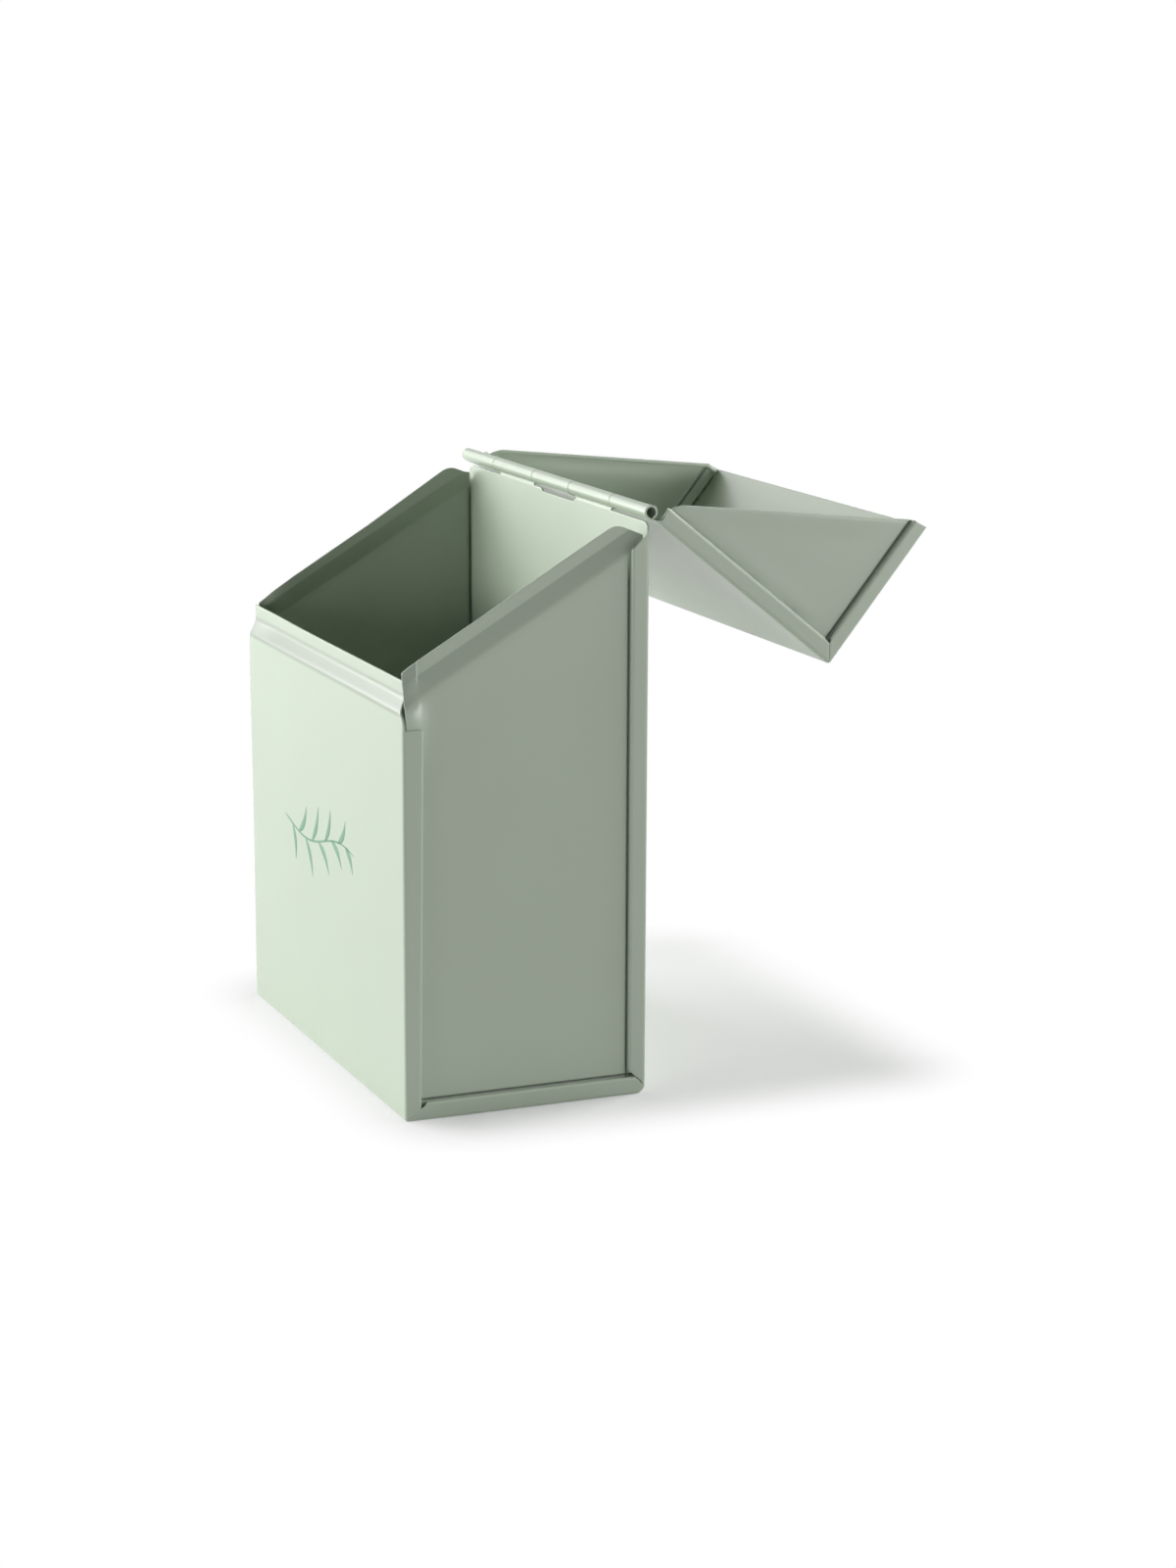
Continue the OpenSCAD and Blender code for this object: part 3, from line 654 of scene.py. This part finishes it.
def lid_wrap(finish):
    """Top and front of the lid in one sheet, with its four hemmed flanges and three rolled knuckles.

    The cross-section's columns are carried round the roll, down the root, along the top and down the front.
    """
    marks = knuckle_stops(0, ROOT_TRIM) + knuckle_stops(1, 0)
    x, d, zone = whole_columns(LID_HALF_W, LID_TOP_FLANGE_W, marks)
    across = np.abs(x)
    every = zone >= 0
    metal = zone <= 1
    flange = zone >= 2
    hook = (zone[:-1] >= 3)[None, :]
    hem = np.clip((d - FOLD_R) / (LID_TOP_FLANGE_W - BEAD_R - FOLD_R), 0, 1) * flange
    front_depth = d - (LID_TOP_FLANGE_W - LID_FRONT_FLANGE_W) * hem
    parts = []

    # Rolled knuckles and their roots
    arc = roll(*LID_ROLL, BARREL_R, (0, 0))
    parts.append((grid(x, arc[:, :1], arc[:, 1:]), cells(len(arc), knuckle_mask(x, 0) & metal)))
    start = (0, BARREL_R)
    ramp = bezier(start, (-2.0, BARREL_R), (-3.6, LID_TOP), (-LID_ROOT_LEN, LID_TOP), 40)
    root = np.concatenate([[start], ramp])
    u = spread([0, LID_NOTCH, LID_FLANGE_START, LID_ROOT_LEN], 0.4)[:, None]
    bite = LID_FLANGE_START + LID_BITE * (1 - ((d - LID_BITE_MIDDLE) / LID_BITE_HALF) ** 2)
    u_all = np.where(flange, np.maximum(u, bite), u)
    curl = np.where(metal, ease(LID_NOTCH, LID_FLANGE_START, u), 1)
    v_all = np.interp(u_all, -root[:, 0], root[:, 1]) - d * curl
    keep = cells(len(u), knuckle_mask(x, 0, ROOT_TRIM) & metal)
    keep |= cells(len(u), metal) & (u[:-1] >= LID_NOTCH - 0.01)
    keep |= cells(len(u), zone >= 1) & (u[:-1] >= LID_FLANGE_START - 0.01)
    parts.append((grid(x, -u_all, v_all), keep))

    # Top
    turn_d = np.maximum(d, LID_BEND_R)
    turn_f = np.maximum(front_depth, LID_BEND_R)
    t = spread([0, 0.02, 0.98, 0.99, 1], 0.06)[:, None]
    start = LID_ROOT_LEN
    stop = LID_LEN - turn_f - LID_MITRE_GAP * flange
    u_all = start + (stop - start) * t
    bow = gentle_bow(x, u_all, *LID_TOP_BOW) * (1 - ease(62, 78, across)) * plateau(8, 24, 60, 78, u_all)
    keep = cells(len(t), every) & ~(hook & (t[1:] > 0.985))
    parts.append((grid(x, -u_all, LID_TOP - d - bow), keep))

    # Bend
    a = np.linspace(0.5 * math.pi, math.pi, 9)[:, None]
    small = np.maximum(LID_BEND_R - d, 0)
    parts.append((grid(x, -(LID_LEN - turn_f) + small * np.cos(a), LID_TOP - turn_d + small * np.sin(a)),
                  cells(len(a), metal)))

    # Front
    t = spread([0, 0.015, 0.03, 0.98, 0.99, 1], 0.08)[:, None]
    start = LID_TOP - turn_d - LID_MITRE_GAP * flange
    stop = -LID_DROP + GUSSET_TIP_RISE * hem
    v_all = start + (stop - start) * t
    middle = (1 - ease(62, 78, across)) * plateau(6, 20, 40, 53, -v_all)
    bow = gentle_bow(x, v_all, *LID_FRONT_BOW) * middle
    keep = cells(len(t), every) & ~(hook & (t[1:] < 0.02))
    parts.append((grid(x, -(LID_LEN - front_depth) + bow, v_all), keep))
    piece = sheet("lid_wrap", [(swing(points), keep) for points, keep in parts], finish, "lid")
    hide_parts("lid_sheet")


def gusset(side, finish):
    """A gusset of the lid: a plate between top, front and its long rolled edge, drawn closed on the right.

    Its rows run from the top sheet down to the long edge, and there round a half circle that turns inward.
    """
    front = LID_LEN - WALL - PANEL_GAP
    u = np.concatenate([np.linspace(front, LID_LEN - 8, 22), np.arange(LID_LEN - 9, 12, -3.0),
                        np.linspace(12, GUSSET_START, 22)])
    knee = LID_LEN - LID_FRONT_FLANGE_W
    tip = LID_DROP - GUSSET_TIP_RISE
    slope = (tip - GUSSET_BACK_H) / (knee - GUSSET_START)
    depth = np.minimum(GUSSET_BACK_H + (u - GUSSET_START) * slope, tip)
    past = np.clip(GUSSET_CORNER_R - (u - GUSSET_START), 0, GUSSET_CORNER_R) / GUSSET_CORNER_R
    depth = depth - (1 - np.sqrt(np.maximum(1 - past ** 2, 0))) * GUSSET_CORNER_DROP
    top = LID_TOP - WALL - 0.08
    r = WALL
    low = -depth + r
    t = spread([0, 0.03, 0.97, 1], 0.05)[:, None]
    v = top + (low - top) * t
    from_front = LID_LEN - u[None, :]
    from_top = LID_TOP - v
    groove = np.maximum(GUSSET_GROOVE * line_groove(from_front - LID_FRONT_FLANGE_W - 0.3, 0.42),
                        GUSSET_TOP_GROOVE * line_groove(from_top - LID_TOP_FLANGE_W - 0.1, 0.4))
    middle = ease(8, 20, from_front) * ease(2, 9, v + depth) * ease(7, 16, from_top)
    bow = gentle_bow(u[None, :], v, *GUSSET_BOWS[side]) * middle
    a = np.linspace(0, math.pi, 9)[1:, None]
    tuck = np.array([0.5, 1.0])[:, None]
    inward = np.concatenate([r - r * np.cos(a), np.full_like(tuck, 2 * r)])
    x_curl = np.broadcast_to(GUSSET_X - inward, (len(inward), len(u)))
    x = np.concatenate([GUSSET_X - groove - bow, x_curl])
    v = np.concatenate([v, low - r * np.sin(a), low + tuck])
    # Painted shade along the gusset's grooves beside the hems
    tint = np.concatenate([groove / GUSSET_GROOVE, np.zeros_like(x_curl)])
    points = grid(side * x, -u, v)[:, ::side]
    name = "lid_gusset_right" if side > 0 else "lid_gusset_left"
    piece = sheet(name + "_plate", [(swing(points), whole(points), tint[:, ::side])], finish, "lid",
                  wall=GUSSET_WALL)
    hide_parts(name)


def stem_z(x):
    """Height of the printed stem along the front."""
    return STEM_Z + STEM_WAVE * np.sin(x / STEM_PERIOD)


def front_print(finish):
    """A printed twig on the front: a waving stem with slender leaves to both sides, a hair above the paint.

    A leaf is as wide as the sine of the way along it, and leaves the stem at an angle that grows smaller
    towards the tip.
    """
    parts = []

    def stroke(x, z, half):
        """Adds a ribbon along a path, with its half width at each point of the path."""
        run = np.stack([np.gradient(x), np.gradient(z)], axis=-1)
        run /= np.linalg.norm(run, axis=1, keepdims=True)
        aside = np.linspace(-1, 1, 5) * half[:, None]
        x_all = x[:, None] - run[:, 1:] * aside
        z_all = z[:, None] + run[:, :1] * aside
        y_all = np.maximum(-HALF_D + front_bow(x_all, z_all) - PRINT_PROUD, -HALF_D)
        points = grid(x_all, y_all, z_all)
        parts.append((points, whole(points)))

    x = np.linspace(STEM_X[0], STEM_X[-1], 60)
    stroke(x, stem_z(x), np.interp(x, STEM_X, STEM_HALF_W))
    way = np.linspace(0, 1, 16)
    for i, root in enumerate(np.linspace(*LEAF_X, LEAVES)):
        up = 1 if i % 2 else -1
        stem_angle = np.arctan(STEM_WAVE / STEM_PERIOD * np.cos(root / STEM_PERIOD))
        turn = np.radians(up * (LEAF_ANGLE - LEAF_ANGLE_STEP * i)) + stem_angle
        length = LEAF_LENGTH - LEAF_LENGTH_STEP * abs(i - LONGEST_LEAF)
        bend = up * LEAF_BEND * np.sin(np.pi * way)
        leaf_x = root + length * way * np.cos(turn) + bend * np.sin(turn)
        leaf_z = stem_z(root) + length * way * np.sin(turn) - bend * np.cos(turn)
        stroke(leaf_x, leaf_z, LEAF_END_HALF_W + LEAF_HALF_W * np.sin(np.pi * way ** 0.8))
    sheet("front_print", parts, finish, "box", wall=PRINT_WALL, soft=0)


# Camera: the photograph's own view
CAMERA_PLACE = (1.04828, -0.38767, 0.33984)
CAMERA_LENS = 77.06
CAMERA_DOWN = math.radians(12.54)
CAMERA_ROUND = math.radians(67.12)
CAMERA_TILT = math.radians(0.226)

camera_data = bpy.data.cameras.new("camera")
camera_data.sensor_fit = "AUTO"
camera_data.sensor_width = 36
camera_data.lens = CAMERA_LENS
camera_data.clip_start = 0.05
camera_data.clip_end = 20
camera = bpy.data.objects.new("camera", camera_data)
bpy.context.scene.collection.objects.link(camera)
bpy.context.scene.camera = camera
facing = Euler((math.radians(90) - CAMERA_DOWN, 0, CAMERA_ROUND)).to_matrix()
tilt = Matrix.Rotation(CAMERA_TILT, 3, "Z")
camera.matrix_world = Matrix.Translation(CAMERA_PLACE) @ (facing @ tilt).to_4x4()


def wire_math(tree, operation, a, b):
    """A Math node of the given operation on two sockets or numbers. Gives its output."""
    node = tree.nodes.new("ShaderNodeMath")
    node.operation = operation
    for socket, value in zip(node.inputs, (a, b)):
        if isinstance(value, (int, float)):
            socket.default_value = value
        else:
            tree.links.new(value, socket)
    return node.outputs[0]


def seen_directly(tree):
    """1 for rays from the camera, in reflections and through glass, and 0 for all others."""
    rays = tree.nodes.new("ShaderNodeLightPath").outputs
    seen = wire_math(tree, "MAXIMUM", rays["Is Camera Ray"], rays["Is Glossy Ray"])
    return wire_math(tree, "MAXIMUM", seen, rays["Is Transmission Ray"])


# Light
LAMP_AIM = Vector((0, 0, 0.12))


def pale_surroundings():
    """World that is plain white to the camera and in reflections, and gives no light of its own."""
    world = bpy.data.worlds.new("surroundings")
    bpy.context.scene.world = world
    world.use_nodes = True
    tree = world.node_tree
    sky = tree.nodes["Background"]
    sky.inputs["Color"].default_value = (1, 1, 1, 1)
    tree.links.new(seen_directly(tree), sky.inputs["Strength"])


def lamp(name, place, size, power):
    """A rectangular lamp that faces the middle of the object."""
    data = bpy.data.lights.new(name, "AREA")
    data.shape = "RECTANGLE"
    data.size = size[0]
    data.size_y = size[1]
    data.energy = power
    stand = bpy.data.objects.new(name, data)
    bpy.context.scene.collection.objects.link(stand)
    stand.location = place
    stand.rotation_euler = (LAMP_AIM - Vector(place)).to_track_quat("-Z", "Y").to_euler()


bpy.context.scene.view_settings.view_transform = "Standard"
pale_surroundings()
lamp("front high", (-0.9, -0.9, 1.0), (1.0, 0.8), 7.2)
lamp("front corner", (-1.1, -1.1, 0.3), (1.0, 0.5), 12.6)
lamp("front low", (0.0, -1.5, 0.25), (1.2, 0.5), 12.6)
lamp("left high", (-1.4, -0.5, 0.8), (0.8, 0.6), 2.8)
lamp("back high", (0.0, 1.2, 1.1), (1.0, 0.8), 13.2)
lamp("back low", (0.0, 1.6, 0.3), (1.2, 0.5), 7.0)
lamp("right corner", (1.2, 1.2, 0.3), (1.0, 0.5), 8.0)


# Finishes
SPECULAR = 0.8
MATT_WHITE = (0.8, 0.8, 0.8, 1)


def new_group(name, inputs, outputs):
    """An empty shader node group with named sockets. Gives the tree, its input node and its output node."""
    tree = bpy.data.node_groups.new(name, "ShaderNodeTree")
    for label, kind, value in inputs:
        socket = tree.interface.new_socket(name=label, in_out="INPUT", socket_type=kind)
        socket.default_value = value
    for label, kind in outputs:
        tree.interface.new_socket(name=label, in_out="OUTPUT", socket_type=kind)
    return tree, tree.nodes.new("NodeGroupInput"), tree.nodes.new("NodeGroupOutput")


def noise(tree, scale, detail=1.0):
    """Noise on Object coordinates. Gives its value, which lies round 0.5."""
    place = tree.nodes.new("ShaderNodeTexCoord")
    node = tree.nodes.new("ShaderNodeTexNoise")
    node.inputs["Scale"].default_value = scale
    node.inputs["Detail"].default_value = detail
    tree.links.new(place.outputs["Object"], node.inputs["Vector"])
    return node.outputs["Fac"]


def scaled(tree, value, low, high):
    """Maps a value of 0 to 1 on to a range between two sockets."""
    node = tree.nodes.new("ShaderNodeMapRange")
    for socket, label in ((value, "Value"), (low, "To Min"), (high, "To Max")):
        tree.links.new(socket, node.inputs[label])
    return node.outputs["Result"]


def multiplied(tree, color, tint):
    """Two colours multiplied."""
    node = tree.nodes.new("ShaderNodeMix")
    node.data_type = "RGBA"
    node.blend_type = "MULTIPLY"
    node.inputs[0].default_value = 1.0
    tree.links.new(color, node.inputs[6])
    tree.links.new(tint, node.inputs[7])
    return node.outputs[2]


def sprayed_relief():
    """Height of sprayed and baked enamel: a fine peel over a slow swell of the sheet below."""
    inputs = [("Peel", "NodeSocketFloat", 1.0), ("Swell", "NodeSocketFloat", 1.0)]
    tree, start, end = new_group("sprayed relief", inputs, [("Height", "NodeSocketFloat")])
    peel = wire_math(tree, "MULTIPLY", noise(tree, 620), start.outputs["Peel"])
    grit = wire_math(tree, "MULTIPLY", noise(tree, 2600), 0.12)
    swell = wire_math(tree, "MULTIPLY", noise(tree, 46), start.outputs["Swell"])
    total = wire_math(tree, "ADD", wire_math(tree, "ADD", peel, grit), swell)
    tree.links.new(total, end.inputs["Height"])
    return tree


def drifting_tone():
    """Colour that drifts slowly in lightness over a sheet, and darkens by the piece's painted shade
    attribute.
    """
    inputs = [("Color", "NodeSocketColor", (0.5, 0.5, 0.5, 1)), ("Drift", "NodeSocketFloat", 0.03),
              ("Crevice", "NodeSocketFloat", 0.8)]
    tree, start, end = new_group("drifting tone", inputs, [("Color", "NodeSocketColor")])
    low = wire_math(tree, "SUBTRACT", 1.0, start.outputs["Drift"])
    high = wire_math(tree, "ADD", 1.0, start.outputs["Drift"])
    lightness = scaled(tree, noise(tree, 17, 2.0), low, high)
    # Painted shade: the piece's attribute, times the group's share, darkens the colour
    seam = tree.nodes.new("ShaderNodeAttribute")
    seam.attribute_name = "painted_shade"
    shade = wire_math(tree, "MULTIPLY", seam.outputs["Fac"], start.outputs["Crevice"])
    kept = wire_math(tree, "MULTIPLY", lightness, wire_math(tree, "SUBTRACT", 1.0, shade))
    grey = tree.nodes.new("ShaderNodeCombineColor")
    for label in ("Red", "Green", "Blue"):
        tree.links.new(kept, grey.inputs[label])
    tone = multiplied(tree, start.outputs["Color"], grey.outputs["Color"])
    tree.links.new(tone, end.inputs["Color"])
    return tree


def rubbed_gloss():
    """Roughness that wanders between two values in soft patches, as handling leaves it."""
    inputs = [("Smooth", "NodeSocketFloat", 0.3), ("Dull", "NodeSocketFloat", 0.4)]
    tree, start, end = new_group("rubbed gloss", inputs, [("Roughness", "NodeSocketFloat")])
    soft = wire_math(tree, "MULTIPLY", noise(tree, 33, 3.0), 0.8)
    fine = wire_math(tree, "MULTIPLY", noise(tree, 900), 0.2)
    patches = wire_math(tree, "ADD", soft, fine)
    rough = scaled(tree, patches, start.outputs["Smooth"], start.outputs["Dull"])
    tree.links.new(rough, end.inputs["Roughness"])
    return tree


RELIEF = sprayed_relief()
TONE = drifting_tone()
GLOSS = rubbed_gloss()


def placed(tree, group, **values):
    """A node group placed in a material's tree with its own values."""
    node = tree.nodes.new("ShaderNodeGroup")
    node.node_tree = group
    for label, value in values.items():
        node.inputs[label].default_value = value
    return node


def finish_of(name, color, drift, painted_shade, gloss, peel, swell, depth, metallic=0.0):
    """A finish: colour that drifts, gloss between two roughnesses, and a relief of a depth in metres."""
    material = bpy.data.materials.new(name)
    material.use_nodes = True
    tree = material.node_tree
    shader = tree.nodes["Principled BSDF"]
    shader.inputs["Specular IOR Level"].default_value = SPECULAR
    shader.inputs["Metallic"].default_value = metallic
    tone = placed(tree, TONE, Color=color, Drift=drift, Crevice=painted_shade)
    tree.links.new(tone.outputs["Color"], shader.inputs["Base Color"])
    rough = placed(tree, GLOSS, Smooth=gloss[0], Dull=gloss[1])
    tree.links.new(rough.outputs["Roughness"], shader.inputs["Roughness"])
    relief = placed(tree, RELIEF, Peel=peel, Swell=swell)
    bump = tree.nodes.new("ShaderNodeBump")
    bump.inputs["Distance"].default_value = depth
    tree.links.new(relief.outputs["Height"], bump.inputs["Height"])
    tree.links.new(bump.outputs["Normal"], shader.inputs["Normal"])
    return material


enamel = finish_of("sage_enamel", color=(0.46, 0.54, 0.428, 1), drift=0.035, painted_shade=0.85,
                   gloss=(0.27, 0.37), peel=0.3, swell=1.0, depth=0.00002)
ink = finish_of("green_ink", color=(0.12, 0.30, 0.18, 1), drift=0.08, painted_shade=0.0,
                gloss=(0.35, 0.45), peel=0.3, swell=0.0, depth=0.00001)
wire = finish_of("drawn_wire", color=(0.52, 0.52, 0.5, 1), drift=0.05, painted_shade=0.0,
                 gloss=(0.3, 0.42), peel=0.2, swell=0.0, depth=0.000004, metallic=1.0)


# Floor
FLOOR_HALF = 4.0
FLOOR_GLOW = 0.17
SHADOW_MIDDLE = (0, 0.05, 0)
SHADOW_HALF = (0.078, 0.07, 0)
SHADOW_FADE = 0.045


def wire_vector(tree, operation, vector, value=(0, 0, 0)):
    """A Vector Math node on a socket and a plain vector. Gives the node."""
    node = tree.nodes.new("ShaderNodeVectorMath")
    node.operation = operation
    node.inputs[1].default_value = value
    tree.links.new(vector, node.inputs[0])
    return node


def pale_floor():
    """Floor that takes the object's shadow near it and goes over to plain white farther out.

    Near the object the camera sees the lit floor with a little white added. The white share grows with the
    distance from a rectangle under the object and its open lid. Other rays meet a plain pale floor.
    """
    material = bpy.data.materials.new("floor")
    material.use_nodes = True
    tree = material.node_tree
    matt = tree.nodes["Principled BSDF"]
    matt.inputs["Base Color"].default_value = MATT_WHITE
    matt.inputs["Roughness"].default_value = 0.9
    matt.inputs["Specular IOR Level"].default_value = 0.0
    past = tree.nodes.new("ShaderNodeTexCoord").outputs["Object"]
    past = wire_vector(tree, "SUBTRACT", past, SHADOW_MIDDLE).outputs["Vector"]
    past = wire_vector(tree, "ABSOLUTE", past).outputs["Vector"]
    past = wire_vector(tree, "SUBTRACT", past, SHADOW_HALF).outputs["Vector"]
    past = wire_vector(tree, "MAXIMUM", past).outputs["Vector"]
    far = tree.nodes.new("ShaderNodeMapRange")
    far.interpolation_type = "SMOOTHSTEP"
    far.inputs["From Max"].default_value = SHADOW_FADE
    tree.links.new(wire_vector(tree, "LENGTH", past).outputs["Value"], far.inputs["Value"])
    seen = seen_directly(tree)
    glow = tree.nodes.new("ShaderNodeEmission")
    tree.links.new(wire_math(tree, "MULTIPLY", seen, FLOOR_GLOW), glow.inputs["Strength"])
    near = tree.nodes.new("ShaderNodeAddShader")
    tree.links.new(matt.outputs["BSDF"], near.inputs[0])
    tree.links.new(glow.outputs["Emission"], near.inputs[1])
    white = tree.nodes.new("ShaderNodeEmission")
    floor_mix = tree.nodes.new("ShaderNodeMixShader")
    tree.links.new(wire_math(tree, "MULTIPLY", seen, far.outputs["Result"]), floor_mix.inputs["Fac"])
    tree.links.new(near.outputs["Shader"], floor_mix.inputs[1])
    tree.links.new(white.outputs["Emission"], floor_mix.inputs[2])
    tree.links.new(floor_mix.outputs["Shader"], tree.nodes["Material Output"].inputs["Surface"])
    mesh = bpy.data.meshes.new("floor")
    corners = [(x * FLOOR_HALF, y * FLOOR_HALF, 0) for x, y in ((-1, -1), (1, -1), (1, 1), (-1, 1))]
    mesh.from_pydata(corners, [], [(0, 1, 2, 3)])
    mesh.materials.append(material)
    floor = bpy.data.objects.new("floor", mesh)
    bpy.context.scene.collection.objects.link(floor)


pale_floor()

# Pieces
body_wrap(enamel)
for side in (1, -1):
    side_panel(side, enamel)
lid_wrap(enamel)
for side in (1, -1):
    gusset(side, enamel)
front_print(ink)
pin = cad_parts["hinge_pin"]
pin.data.materials.clear()
pin.data.materials.append(wire)
